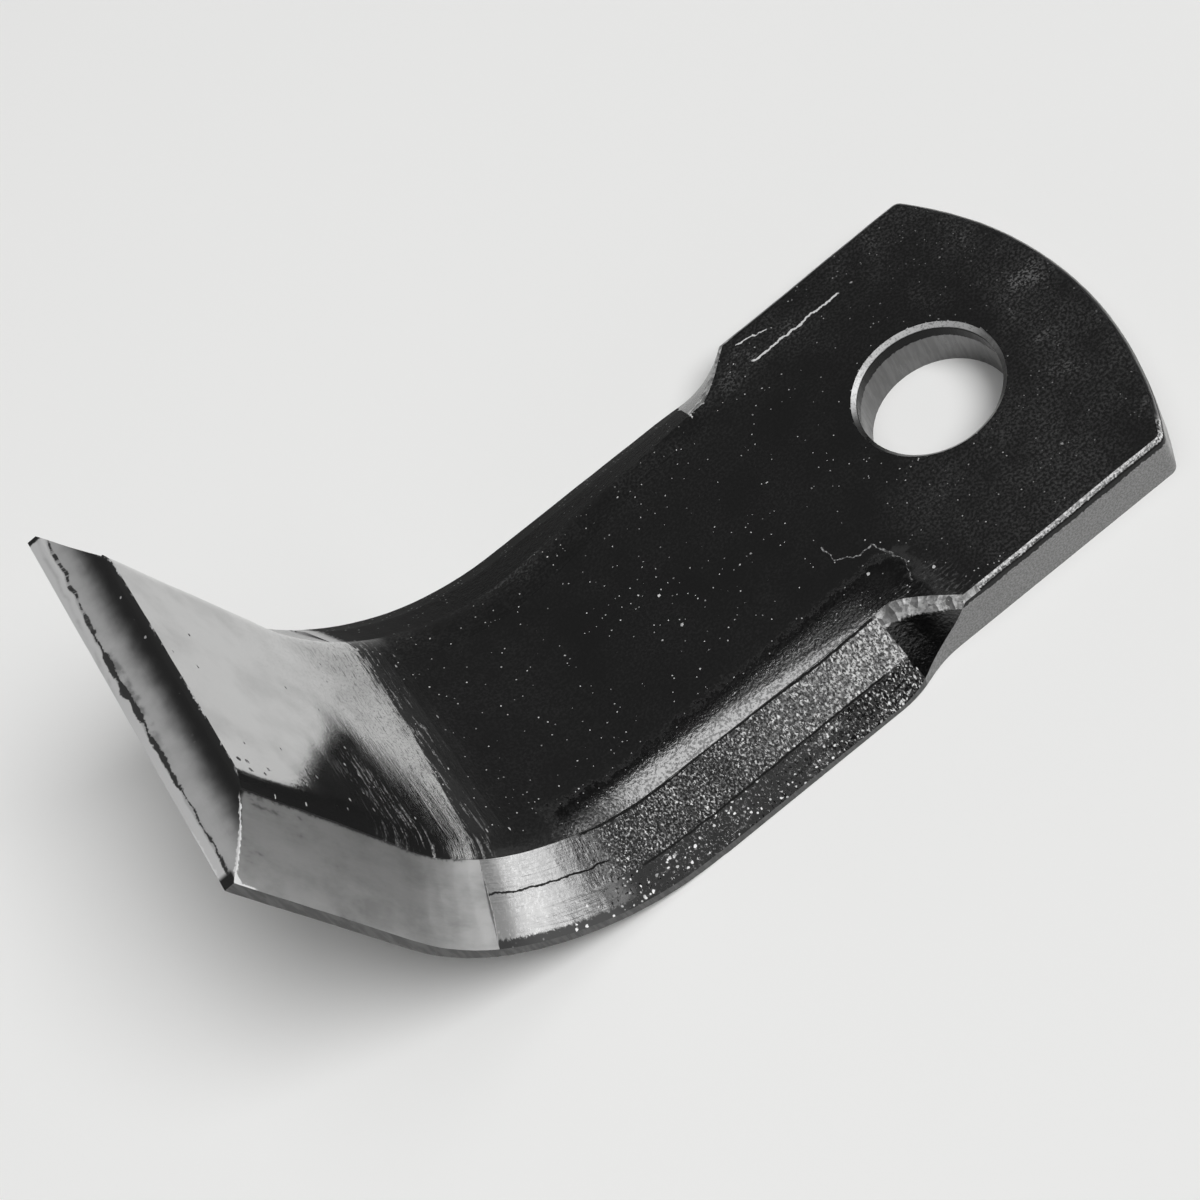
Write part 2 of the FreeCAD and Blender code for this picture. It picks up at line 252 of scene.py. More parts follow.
class SteelTree:
    """The node tree of a steel finish, with the coordinates and masks that the finishes share."""

    def __init__(self, name: str) -> None:
        """Starts an empty steel material.

        Args:
            name: Name of the material.
        """
        self.material = bpy.data.materials.new(name)
        self.material.use_nodes = True
        self.tree = self.material.node_tree
        self.steel = self.tree.nodes["Principled BSDF"]
        self.steel.inputs["Metallic"].default_value = 1.0
        self.steel.inputs["Specular IOR Level"].default_value = 0.15
        place = add_node(self.tree, "TexCoord")
        self.solid = self.scaled(place.outputs["Object"], (1 / MM, 1 / MM, 1 / MM))
        unrolled = add_node(self.tree, "UVMap", {"uv_map": "unrolled"})
        self.skin = self.scaled(unrolled.outputs["UV"], (1 / MM, 1 / MM, 1 / MM))
        parts = add_node(self.tree, "SeparateXYZ", None, Vector=self.skin)
        self.along = parts.outputs[0]
        self.across = parts.outputs[1]
        self.off = self.math("ABSOLUTE", self.across)
        self.height = self.attribute("height")
        self.edge = self.attribute("edge")

    def scaled(self, vector: Socket, scale: tuple[float, float, float]) -> Socket:
        """Multiplies a vector by a scale."""
        node = add_node(self.tree, "VectorMath", {"operation": "MULTIPLY", "in:1": scale}, n0=vector)
        return node.outputs[0]

    def pulled(self, along: float, across: float) -> Socket:
        """The unrolled skin's coordinates, pulled out where a factor is under 1."""
        return self.scaled(self.skin, (along, across, 1.0))

    def noise(self, vector: Socket, size: float, detail: float = 2.0, rough: float = 0.5) -> Socket:
        """Noise whose lumps are about size millimetres wide, from 0 to 1."""
        settings = {"in:Scale": 1.0 / size, "in:Detail": detail, "in:Roughness": rough}
        return add_node(self.tree, "TexNoise", settings, Vector=vector).outputs[0]

    def spots(self, vector: Socket, spacing: float) -> tuple[Socket, Socket]:
        """Distance from scattered points, in spacings, and a random value for each point."""
        node = add_node(self.tree, "TexVoronoi", {"in:Scale": 1.0 / spacing}, Vector=vector)
        share = add_node(self.tree, "SeparateColor", None, Color=node.outputs["Color"])
        return node.outputs["Distance"], share.outputs[0]

    def ramp(
        self, value: Socket, start: float, stop: float, low: float = 0.0, high: float = 1.0
    ) -> Socket:
        """Maps start..stop smoothly to low..high."""
        settings = {"interpolation_type": "SMOOTHSTEP", "in:From Min": start, "in:From Max": stop}
        settings |= {"in:To Min": low, "in:To Max": high}
        return add_node(self.tree, "MapRange", settings, Value=value).outputs[0]

    def math(self, operation: str, first: object, second: object = None) -> Socket:
        """A sum on sockets or numbers."""
        node = add_node(self.tree, "Math", {"operation": operation})
        for number, term in enumerate((first, second)):
            if isinstance(term, Socket):
                self.tree.links.new(term, node.inputs[number])
            elif term is not None:
                node.inputs[number].default_value = term
        return node.outputs[0]

    def band(self, value: Socket, low: float, high: float, soft: float) -> Socket:
        """1 where low < value < high, with soft borders, and 0 elsewhere."""
        rise = self.ramp(value, low - soft / 2, low + soft / 2)
        return self.both(rise, self.ramp(value, high - soft / 2, high + soft / 2, 1.0, 0.0))

    def fold(self, operation: str, terms: tuple[Socket | float, ...]) -> Socket:
        """Works out a sum term by term."""
        total = terms[0]
        for term in terms[1:]:
            total = self.math(operation, total, term)
        return total

    def plus(self, *terms: Socket | float) -> Socket:
        """The sum of some values."""
        return self.fold("ADD", terms)

    def less(self, *terms: Socket | float) -> Socket:
        """The first value less the others."""
        return self.fold("SUBTRACT", terms)

    def rest(self, mask: Socket) -> Socket:
        """What a mask leaves: 1 where it is 0, and 0 where it is 1."""
        return self.less(1.0, mask)

    def stray(self, lumps: Socket, size: Socket | float) -> Socket:
        """Turns noise into a stray to both sides, of up to half the size."""
        return self.both(self.less(lumps, 0.5), size)

    def both(self, *masks: Socket | float) -> Socket:
        """The product of some masks and factors."""
        return self.fold("MULTIPLY", masks)

    def either(self, *masks: Socket) -> Socket:
        """The largest of some masks."""
        return self.fold("MAXIMUM", masks)

    def line(self, at: object, middle: float, sway: float, width: float) -> Socket:
        """A wavy, ragged line that runs along the blade, at a distance from the blade's middle line.

        Args:
            at: Coordinate that the line keeps to, in millimetres.
            middle: Its value on the line.
            sway: How far the line strays from it, in millimetres.
            width: Half of the line's width, in millimetres.

        Returns:
            1 on the line and 0 off it.
        """
        stretched = self.scaled(self.skin, (1.0, 0.0, 0.0))
        stray = self.stray(self.noise(stretched, 2.6, 3.0, 0.6), sway * 2)
        ragged = self.both(self.noise(self.skin, 0.7, 2.0, 0.6), width * 2)
        apart = self.math("ABSOLUTE", self.less(self.less(at, stray), middle))
        return self.ramp(self.less(ragged, apart), -0.03, 0.03)

    def trail(self, points: tuple[tuple[float, float], ...], width: float) -> Socket:
        """A scratch along some points of the unrolled skin, in millimetres."""
        waver = add_node(self.tree, "TexNoise", {"in:Scale": 1.2, "in:Detail": 2.0}, Vector=self.skin)
        place = add_node(self.tree, "VectorMath", {"operation": "ADD"}, n0=self.skin, n1=waver.outputs["Color"])
        nearest = None
        for start, stop in zip(points, points[1:]):
            first = Vector((start[0] + 0.5, start[1] + 0.5, 0.5))
            run = Vector((stop[0] - start[0], stop[1] - start[1], 0.0))
            step = add_node(self.tree, "VectorMath", {"operation": "SUBTRACT", "in:1": first}, n0=place.outputs[0])
            project = {"operation": "DOT_PRODUCT", "in:1": run / run.length_squared}
            share = add_node(self.tree, "VectorMath", project, n0=step.outputs[0])
            held = add_node(self.tree, "Clamp", None, Value=share.outputs["Value"])
            foot = add_node(self.tree, "VectorMath", {"operation": "SCALE", "in:0": run}, Scale=held.outputs[0])
            gap = add_node(self.tree, "VectorMath", {"operation": "SUBTRACT"}, n0=step.outputs[0], n1=foot.outputs[0])
            flat = self.scaled(gap.outputs[0], (1.0, 1.0, 0.0))
            length = add_node(self.tree, "VectorMath", {"operation": "LENGTH"}, n0=flat).outputs["Value"]
            nearest = length if nearest is None else self.math("MINIMUM", nearest, length)
        ragged = self.both(self.noise(self.skin, 0.5, 2.0, 0.6), width * 2)
        return self.math("GREATER_THAN", ragged, nearest)

    def specks(
        self, vector: Socket, spacing: float, radius: float, share: float, crowd: float
    ) -> Socket:
        """Scattered specks.

        Args:
            vector: Coordinates in millimetres.
            spacing: Distance between the places where a speck may be.
            radius: Largest radius of a speck, in millimetres.
            share: Part of the places that hold a speck.
            crowd: Size of the crowds that the specks gather in.

        Returns:
            1 on a speck and 0 elsewhere.
        """
        distance, luck = self.spots(vector, spacing)
        crowds = self.ramp(self.noise(vector, crowd, 2.0, 0.5), 0.35, 0.65, 0.35, 1.6)
        chosen = self.math("GREATER_THAN", self.both(crowds, share), luck)
        reach = self.both(self.noise(vector, radius * 2, 2.0, 0.6), 2 * radius / spacing)
        mask = self.ramp(self.less(reach, distance), 0.0, 0.12 * radius / spacing)
        return self.both(chosen, mask, self.ramp(self.noise(vector, 1.7, 1.0, 0.5), 0.3, 0.6, 0.25, 1.0))

    def attribute(self, name: str) -> Socket:
        """A value that the mesh carries."""
        return add_node(self.tree, "Attribute", {"attribute_name": name}).outputs["Fac"]

    def region(self, *regions: Region) -> Socket:
        """1 on the faces of the named regions, and 0 elsewhere."""
        value = self.attribute("region")
        total = None
        for region in regions:
            same = add_node(self.tree, "Math", {"operation": "COMPARE", "in:1": float(region), "in:2": 0.4}, n0=value)
            total = same.outputs[0] if total is None else self.math("MAXIMUM", total, same.outputs[0])
        return total

    def colour(self, mask: Socket, low: object, high: object) -> Socket:
        """Mixes two colours, given as hex codes or sockets, by a mask."""
        node = add_node(self.tree, "Mix", {"data_type": "RGBA"}, n0=mask)
        for number, term in ((6, low), (7, high)):
            if isinstance(term, str):
                node.inputs[number].default_value = linear(term)
            else:
                self.tree.links.new(term, node.inputs[number])
        return node.outputs[2]

    def finish(self, colour: Socket, rough: Socket, film: Socket, relief: Socket) -> bpy.types.Material:
        """Links the steel's inputs.

        Args:
            colour: Base colour.
            rough: Roughness.
            film: 1 where a film hides the metal and 0 where the metal is bare.
            relief: Height of the surface in millimetres.

        Returns:
            The finished material.
        """
        bump = add_node(self.tree, "Bump", {"in:Distance": MM, "in:Strength": 1.0}, Height=relief)
        links = {"Base Color": colour, "Roughness": rough, "Metallic": self.rest(film), "Normal": bump.outputs[0]}
        for name, socket in links.items():
            self.tree.links.new(socket, self.steel.inputs[name])
        return self.material


@dataclass(frozen=True)
class ForgedSteel:
    """Hot-forged steel under a thin, glossy black oxide, with pale specks where the scale came off, and black painted
    where the room and the shank are reflected dark.
    """

    colour: str = "#c6c6c6"
    dull_colour: str = "#b5b5b5"
    bare_colour: str = "#d2d2d2"
    soot_colour: str = "#171717"
    grain_mm: float = 0.40
    scale_and_reflection_end: float = 93.6
    strip_edge: float = -18.4

    def material(self) -> bpy.types.Material:
        """Builds the material."""
        skin = SteelTree("forged_black_steel")
        along, across = skin.along, skin.across
        face = skin.region(Region.FACE, Region.BACK, Region.SHOULDER)
        patches = skin.noise(skin.solid, 9.0, 3.0, 0.6)
        grain = skin.noise(skin.solid, self.grain_mm, 2.0, 0.6)
        wing = skin.ramp(along, 84.0, 104.0)
        bend = skin.both(skin.ramp(along, 66.0, 86.0), skin.ramp(along, 94.0, 116.0, 1.0, 0.12))

        # The grain of the oxide breaks the edge of every reflection into fine specks: most of all on
        # the rolled-down edge beside the bevel, and in the bend.
        roll = skin.both(skin.ramp(across, -15.0, -20.5), skin.band(along, 24.0, 84.0, 10.0))
        depth = skin.plus(skin.both(roll, 0.075), 0.005)
        depth = skin.plus(depth, skin.both(bend, 0.016))
        relief = skin.both(grain, depth)
        # Streaks across the blade, drawn out on its inner face by the bending.
        drawn = skin.noise(skin.pulled(1.0, 0.08), 0.26, 2.0, 0.7)
        relief = skin.plus(relief, skin.both(drawn, bend, 0.024))

        # Marks: soot in the pits by the roll, and dark flecks and streaks on the wing.
        pits = skin.both(skin.band(across, -21.9, -17.0, 1.5), skin.specks(skin.skin, 2.6, 0.42, 0.15, 9.0))
        speckle = skin.both(roll, skin.ramp(grain, 0.52, 0.44), skin.ramp(along, 96.0, 80.0))
        flecks = skin.both(wing, skin.specks(skin.pulled(1.0, 0.45), 1.2, 0.15, 0.11, 7.0))
        chips = skin.both(wing, skin.band(across, -19.4, -16.6, 1.2), skin.ramp(along, 126.5, 128.5))
        chips = skin.both(chips, skin.specks(skin.skin, 1.3, 0.45, 0.50, 6.0))
        soot = skin.both(skin.either(pits, flecks, chips), skin.ramp(skin.height, 4.0, 5.0))
        fine_grain = skin.noise(skin.pulled(1.0, 0.6), 0.34, 5.0, 0.95)
        stipple = skin.both(skin.ramp(fine_grain, 0.53, 0.60), skin.ramp(along, 120.0, 90.0, 0.10, 0.95))
        threads = skin.both(skin.ramp(drawn, 0.58, 0.66), skin.ramp(along, 112.0, 92.0, 0.0, 0.8))
        streaks = skin.both(skin.either(stipple, threads), skin.ramp(along, 80.0, 88.0))
        # The bend's inner face is black up to a ragged border, and again in a wedge and a strip by the near edge:
        # black scale, painted where the room and the shank are reflected dark. Pale strands break up the borders.
        strands = skin.noise(skin.pulled(1.0, 0.10), 0.62, 4.0, 0.75)
        border_noise = skin.plus(skin.both(strands, 9.0), skin.both(fine_grain, 5.0))
        border_noise = skin.less(border_noise, 3.0)
        slant = skin.both(skin.math("MINIMUM", across, 0.0), 0.13)
        border = skin.less(self.scale_and_reflection_end, skin.plus(along, slant))
        sway = skin.both(skin.noise(skin.solid, 1.3, 5.0, 0.8), 8.0)
        rolled = skin.ramp(skin.plus(across, sway), -12.2, -14.2)
        rolled = skin.both(rolled, skin.band(skin.plus(along, sway), 24.0, 80.0, 7.0))
        inner = skin.ramp(skin.less(border, border_noise), -0.4, 0.4)
        inner = skin.both(inner, skin.rest(rolled))
        left = skin.plus(across, skin.both(along, 0.897))
        left = skin.less(96.4, left, border_noise)
        right = skin.less(along, skin.both(across, 0.30))
        right = skin.less(right, 99.6, border_noise)
        spray = skin.stray(fine_grain, 14.0)
        left = skin.less(left, spray)
        wedge = skin.both(skin.ramp(left, -0.5, 0.5), skin.ramp(right, -0.5, 0.5), skin.ramp(across, 0.0, -1.0))
        ragged = skin.plus(across, skin.both(fine_grain, 1.6))
        strip = skin.both(skin.ramp(ragged, self.strip_edge, self.strip_edge - 0.4), skin.ramp(along, 97.0, 102.0))
        # The back keeps the whole of its black scale.
        back = skin.region(Region.BACK)
        front = skin.rest(back)
        # black: the painted dark reflections, together with the back's real scale.
        black = skin.either(inner, wedge, strip, back)
        pale_strands = skin.both(
            inner, skin.ramp(strands, 0.56, 0.62), skin.ramp(fine_grain, 0.45, 0.52), skin.ramp(border, 9.0, 4.0)
        )
        wisps = skin.both(
            wedge, skin.ramp(strands, 0.54, 0.60), skin.ramp(fine_grain, 0.47, 0.54), skin.ramp(right, 15.0, 1.0)
        )
        pale_strands = skin.either(pale_strands, wisps)

        # Specks and scratches where the oxide is off and the bare steel shows pale.
        shade = skin.ramp(wing, 0.0, 0.6, 1.0, 0.0)
        dust = skin.specks(skin.solid, 0.62, 0.10, 0.15, 6.0)
        fine = skin.specks(skin.solid, 1.3, 0.13, 0.12, 7.0)
        large = skin.specks(skin.solid, 3.3, 0.25, 0.09, 12.0)
        rim = skin.both(skin.band(along, -1.0, 14.5, 0.4), skin.line(across, 23.3, 0.95, 0.17))
        scratch = skin.trail(
            ((25.3, -9.6), (25.1, -12.5), (22.5, -14.3), (20.2, -14.3), (18.4, -19.5), (19.5, -22.6)), 0.09
        )
        corner = skin.trail(((14.7, 27.9), (12.6, 27.4), (10.1, 26.5)), 0.11)
        worn = skin.both(skin.ramp(along, 26.5, 26.0), skin.ramp(skin.off, 20.0, 21.0))
        worn = skin.both(worn, skin.ramp(skin.plus(skin.edge, grain), 1.42, 1.5))
        marks = skin.either(rim, skin.both(scratch, skin.ramp(grain, 0.40, 0.60, 0.1, 0.5)), corner)
        thin = skin.ramp(along, -24.0, 30.0, 0.25, 1.0)
        bare = skin.either(
            skin.both(shade, thin, skin.either(dust, fine, large)), skin.both(front, face, marks), worn
        )
        nicks = skin.specks(skin.pulled(1.0, 0.45), 0.9, 0.15, 0.22, 4.0)
        nicks = skin.both(black, skin.ramp(along, 82.0, 86.0), nicks)
        bare = skin.either(bare, skin.both(front, nicks), skin.both(front, skin.both(pale_strands, 0.7)))

        # A thin bloom on the head and along the far edge, like a wiped film.
        clouds = skin.both(skin.ramp(patches, 0.50, 0.70), skin.ramp(grain, 0.42, 0.66))
        where = skin.either(skin.ramp(along, -4.0, -18.0), skin.ramp(across, 14.0, 26.0, 0.05, 0.7))
        salt = skin.both(skin.ramp(grain, 0.38, 0.70), skin.ramp(patches, 0.30, 0.65, 0.2, 1.0))
        near = skin.either(
            skin.both(skin.ramp(along, 24.0, 6.0), skin.ramp(across, 0.0, -16.0)), skin.plus(where, 0.15)
        )
        bloom = skin.both(shade, clouds, where, 0.20)
        bloom = skin.either(bloom, skin.both(shade, salt, near, 0.065))
        brushed = skin.noise(skin.pulled(0.35, 1.0), 0.34, 3.0, 0.7)
        lip = skin.both(skin.band(along, 15.0, 27.0, 6.0), skin.ramp(across, -20.5, -23.0))
        bloom = skin.either(bloom, skin.both(lip, skin.ramp(brushed, 0.50, 0.66), 0.13))

        colour = skin.colour(skin.ramp(patches, 0.4, 0.7), self.colour, self.dull_colour)
        colour = skin.colour(skin.both(roll, 0.75), colour, "#b4b4b4")
        colour = skin.colour(skin.both(speckle, 0.55), colour, "#303030")
        colour = skin.colour(streaks, colour, "#515151")
        # Painted shade: the far edge gets a dark, rough, non-metal coat that hides the rolled edge's reflection of
        # the pale low wall.
        inward = skin.plus(across, skin.ramp(along, SCOOP_END, BEND_START, 0.0, 4.1))
        coat = skin.both(skin.ramp(inward, 19.4, 20.6), skin.band(along, 25.5, 84.0, 4.0))
        # Painted reflection: black where the room and the shank are reflected dark, with the back's scale.
        colour = skin.colour(black, colour, "#202020")
        colour = skin.colour(coat, colour, "#181818")
        colour = skin.colour(skin.either(bare, bloom), colour, self.bare_colour)
        colour = skin.colour(soot, colour, self.soot_colour)
        rough = skin.either(skin.ramp(patches, 0.35, 0.7, 0.12, 0.20), skin.both(roll, 0.30))
        rough = skin.either(rough, skin.both(skin.either(bare, soot), 0.55), skin.both(coat, 0.7))
        rough = skin.either(rough, skin.both(back, skin.ramp(patches, 0.3, 0.7, 0.28, 0.42)))
        # The metal gives way only where the painted black and the painted coat are whole, so that no pale seam shows
        # along their borders.
        scale = skin.math("POWER", skin.either(skin.both(black, 0.99), coat), 7.0)
        film = skin.either(skin.both(bare, 0.75), scale, soot, bloom)
        return skin.finish(colour, rough, film, relief)


@dataclass(frozen=True)
class PebbledSteel:
    """The bevels as the die left them: black oxide over a pebbled skin with fine holes, its sparkle painted as pale
    glints.
    """

    colour: str = "#c6c6c6"
    dull_colour: str = "#8f8f8f"
    soot_colour: str = "#171717"
    pebble_mm: float = 0.55

    def material(self) -> bpy.types.Material:
        """Builds the material."""
        skin = SteelTree("pebbled_forged_steel")
        along = skin.along
        upper = skin.region(Region.UPPER_BEVEL)
        lower = skin.rest(upper)
        patches = skin.noise(skin.solid, 8.0, 3.0, 0.6)
        ruffle = skin.both(skin.noise(skin.skin, 1.2, 4.0, 0.8), 6.0)
        flank = skin.ramp(skin.plus(along, ruffle), 73.0, 81.5)
        far = skin.ramp(skin.across, 0.0, 1.0)
        # Pebbles: coarse by the scoop, finer and ribbed towards the bend, few on the lower bevel.
        pebbles = skin.noise(skin.solid, self.pebble_mm, 3.0, 0.65)
        crumbs = skin.noise(skin.pulled(1.0, 0.7), 0.42, 3.0, 0.75)
        wide = skin.both(upper, skin.ramp(along, 66.0, 76.0, 1.0, 0.10))
        patchy = skin.both(lower, skin.ramp(patches, 0.46, 0.62, 0.08, 0.6), skin.ramp(along, 64.0, 88.0, 1.0, 0.15))
        relief = skin.both(pebbles, skin.both(skin.plus(wide, patchy), 0.26))
        ribs = skin.noise(skin.pulled(1.0, 0.30), 0.60, 2.0, 0.6)
        ribbed = skin.both(ribs, skin.both(upper, skin.band(along, 46.0, 74.0, 12.0), 0.26))
        # Lines along the blade, where the die dragged over the ridge and the bend's flank.
        dragged = skin.noise(skin.pulled(0.05, 1.0), 0.30, 2.0, 0.6)
        near_ridge = skin.both(skin.band(skin.off, 25.8, 28.4, 0.6), skin.band(along, 28.0, 50.0, 6.0))
        lined = skin.both(skin.either(skin.both(near_ridge, 2.0), skin.both(flank, 0.7)), 0.055)
        relief = skin.plus(relief, ribbed, skin.both(dragged, lined))

        # Lines that the forging left: the crease, a step under the ridge and a lap in the bend's flank.
        crease = skin.plus(skin.off, skin.ramp(along, SCOOP_END, BEND_START, 0.0, 1.2))
        crease = skin.both(skin.band(along, 26.0, 76.0, 2.0), skin.line(crease, 23.2, 0.12, 0.16))
        step = skin.both(skin.band(along, 29.0, 70.0, 3.0), skin.line(skin.off, 28.55, 0.22, 0.13))
        lap = skin.both(skin.band(along, 73.0, 92.0, 1.0), skin.line(skin.across, -26.1, 0.55, 0.13))
        holes = skin.both(upper, skin.specks(skin.solid, 0.85, 0.17, 0.42, 5.0))
        # The hollows between the pebbles stay black, and more so towards the bend.
        level = skin.ramp(along, 30.0, 64.0, 0.43, 0.530)
        level = skin.plus(level, skin.ramp(upper, 0.0, 1.0, 0.05, 0.0))
        tops = skin.ramp(skin.less(crumbs, level), -0.022, 0.022)
        fill = skin.both(skin.ramp(tops, 0.0, 1.0, 0.92, 0.0), skin.ramp(flank, 0.0, 0.9, 1.0, 0.15))
        gap = skin.both(skin.band(along, 70.0, 95.0, 4.0), skin.ramp(skin.plus(skin.height, crumbs), 2.55, 2.35))
        lines = skin.either(crease, step, lap)
        soot = skin.either(fill, skin.both(gap, 0.9), skin.both(holes, skin.ramp(along, 66.0, 74.0, 1.0, 0.15)))
        soot = skin.both(soot, skin.rest(skin.both(far, skin.ramp(along, 66.0, 76.0))))
        # Painted glints: scattered pale specks for the sparkle, more of them on the lower bevel.
        sparks = skin.either(
            skin.specks(skin.solid, 0.75, 0.15, 0.16, 4.0),
            skin.both(lower, skin.specks(skin.solid, 0.6, 0.17, 0.22, 3.0)),
        )
        # Painted glints: pale specks for the pebbled skin's sparkle, crowded and bright by the scoop, fewer in a bed
        # that darkens towards the bend.
        glint_distance, luck = skin.spots(skin.pulled(1.0, 0.8), 0.42)
        facets = skin.noise(skin.pulled(1.0, 0.75), 0.30, 3.0, 0.7)
        crowd = skin.plus(skin.ramp(along, 27.0, 60.0, 0.468, 0.545), skin.both(skin.less(0.5, patches), 0.16))
        crowd = skin.plus(crowd, skin.ramp(upper, 0.0, 1.0, 0.085, 0.0))
        glint = skin.either(skin.ramp(luck, 0.1, 1.0, 0.30, 1.0), skin.ramp(along, 30.0, 50.0, 0.88, 0.0))
        painted_glints = skin.both(
            skin.ramp(skin.less(facets, crowd), -0.008, 0.020), glint, skin.ramp(flank, 0.0, 0.7, 1.0, 0.0)
        )
        painted_glints = skin.both(painted_glints, skin.ramp(glint_distance, 0.75, 0.35, 0.35, 1.0))
        foot = skin.both(skin.band(along, 56.0, 90.0, 8.0), skin.ramp(skin.height, 3.8, 2.8))
        bare = skin.either(
            skin.both(sparks, skin.ramp(flank, 0.0, 1.0, 1.0, 0.2)),
            skin.both(foot, skin.specks(skin.solid, 0.9, 0.22, 0.32, 5.0)),
        )
        near = skin.rest(skin.both(far, skin.ramp(along, 66.0, 76.0)))
        bare = skin.both(near, skin.either(bare, painted_glints))

        colour = skin.colour(skin.ramp(patches, 0.45, 0.75), "#e2e2e2", self.dull_colour)
        colour = skin.colour(flank, colour, self.colour)
        colour = skin.colour(skin.both(lower, skin.ramp(flank, 0.0, 1.0, 0.85, 0.0)), colour, "#7c7c7c")
        bed = skin.ramp(along, 30.0, 62.0)
        colour = skin.colour(
            skin.both(upper, skin.ramp(flank, 0.0, 1.0, 0.9, 0.0)), colour, skin.colour(bed, "#565656", "#3a3a3a")
        )
        # Towards the ground side the flank takes on the grinding's dull grey.
        dull = skin.ramp(along, 84.5, 91.2)
        colour = skin.colour(dull, colour, "#8c8c8c")
        colour = skin.colour(soot, colour, self.soot_colour)
        # Pale: the bare specks and the painted glints.
        colour = skin.colour(bare, colour, "#e8e8e8")
        # The far bevel still has its whole coat of black scale, with only a few bare specks.
        coat = skin.both(far, skin.ramp(skin.plus(along, skin.both(crumbs, 4.0)), 92.5, 90.5))
        colour = skin.colour(lines, colour, self.soot_colour)
        colour = skin.colour(coat, colour, skin.colour(skin.both(sparks, 0.6), "#181818", "#8c8c8c"))
        rough = skin.either(skin.ramp(patches, 0.35, 0.7, 0.13, 0.22), skin.both(flank, 0.24))
        rough = skin.either(rough, skin.both(skin.either(bare, soot), 0.5), skin.both(coat, 0.75))
        beyond = skin.both(far, skin.ramp(along, 89.0, 91.0))
        colour = skin.colour(beyond, colour, "#bdbdbd")
        rough = skin.either(rough, skin.both(dull, 0.38))
        film = skin.either(skin.both(bare, 0.6), soot, lines, skin.math("POWER", coat, 7.0), skin.both(beyond, 0.6))
        return skin.finish(colour, rough, film, relief)


@dataclass(frozen=True)
class ScoopSteel:
    """The scoop beside the head: a dark, glossy pressed wall under a lip sheared into facets, painted pale as a
    highlight.
    """

    colour: str = "#4c4c4c"
    lip_colour: str = "#dcdcdc"
    lip_height: float = 6.5

    def material(self) -> bpy.types.Material:
        """Builds the material."""
        skin = SteelTree("pressed_steel_with_sheared_lip")
        grain = skin.noise(skin.solid, 0.45, 3.0, 0.6)
        ragged = skin.plus(skin.height, skin.stray(grain, 0.8))
        lip = skin.ramp(ragged, self.lip_height - 0.1, self.lip_height + 0.1)
        cells = add_node(skin.tree, "TexVoronoi", {"in:Scale": 1.1}, Vector=skin.scaled(skin.solid, (1.0, 1.0, 0.25)))
        shade = add_node(skin.tree, "SeparateColor", None, Color=cells.outputs["Color"]).outputs[0]
        relief = skin.both(cells.outputs["Distance"], lip)
        relief = skin.plus(skin.both(relief, 0.35), skin.both(grain, 0.06))
        # Painted highlight: the lip's facets are painted pale, for the light on a lip wider than the solid's.
        facets = skin.colour(skin.both(shade, skin.ramp(grain, 0.35, 0.6, 0.4, 1.0)), "#5e5e5e", self.lip_colour)
        sparks = skin.specks(skin.solid, 0.9, 0.14, 0.10, 3.0)
        colour = skin.colour(lip, self.colour, facets)
        colour = skin.colour(sparks, colour, self.lip_colour)
        rough = skin.ramp(lip, 0.0, 1.0, 0.20, 0.42)
        film = skin.both(skin.either(lip, sparks), 0.65)
        return skin.finish(colour, rough, film, relief)


@dataclass(frozen=True)
class GroundSteel:
    """Steel ground flat on a belt: a soft grey sheen with fine scratches along the blade."""

    colour: str = "#b6b6b6"
    dull_colour: str = "#9d9d9d"
    scratch_mm: float = 0.25

    def material(self) -> bpy.types.Material:
        """Builds the material."""
        skin = SteelTree("belt_ground_steel")
        along = skin.along
        scratches = skin.noise(skin.pulled(0.06, 1.0), self.scratch_mm, 2.0, 0.6)
        clouds = skin.noise(skin.pulled(0.4, 1.0), 4.0, 4.0, 0.65)
        smudges = skin.both(skin.ramp(clouds, 0.58, 0.68), skin.ramp(along, 110.0, 128.0))
        grain = skin.noise(skin.solid, 0.5, 2.0, 0.6)
        worn = skin.ramp(skin.plus(skin.edge, grain), 1.22, 1.34)
        corner = skin.both(worn, skin.ramp(along, 132.0, 133.0), skin.ramp(skin.height, 6.6, 6.0))
        # Darker along the ground side's upper edge.
        dark_edge_line = skin.plus(skin.edge, skin.both(grain, 0.5))
        dark_edge_line = skin.both(
            skin.ramp(dark_edge_line, 0.75, 1.15), skin.ramp(skin.height, 4.5, 5.0), skin.ramp(along, 93.5, 95.0)
        )
        far = skin.both(skin.ramp(skin.across, 0.0, 1.0), skin.ramp(along, 112.0, 100.0))
        rough = skin.ramp(clouds, 0.3, 0.7, 0.34, 0.44)
        colour = skin.colour(skin.ramp(clouds, 0.35, 0.7), self.colour, self.dull_colour)
        colour = skin.colour(skin.both(smudges, 0.75), colour, "#4d4d4d")
        colour = skin.colour(dark_edge_line, colour, "#3a3a3a")
        colour = skin.colour(far, colour, "#bdbdbd")
        colour = skin.colour(corner, colour, "#e6e6e6")
        film = skin.both(skin.either(corner, far), 0.65)
        return skin.finish(colour, rough, film, skin.both(scratches, 0.008))


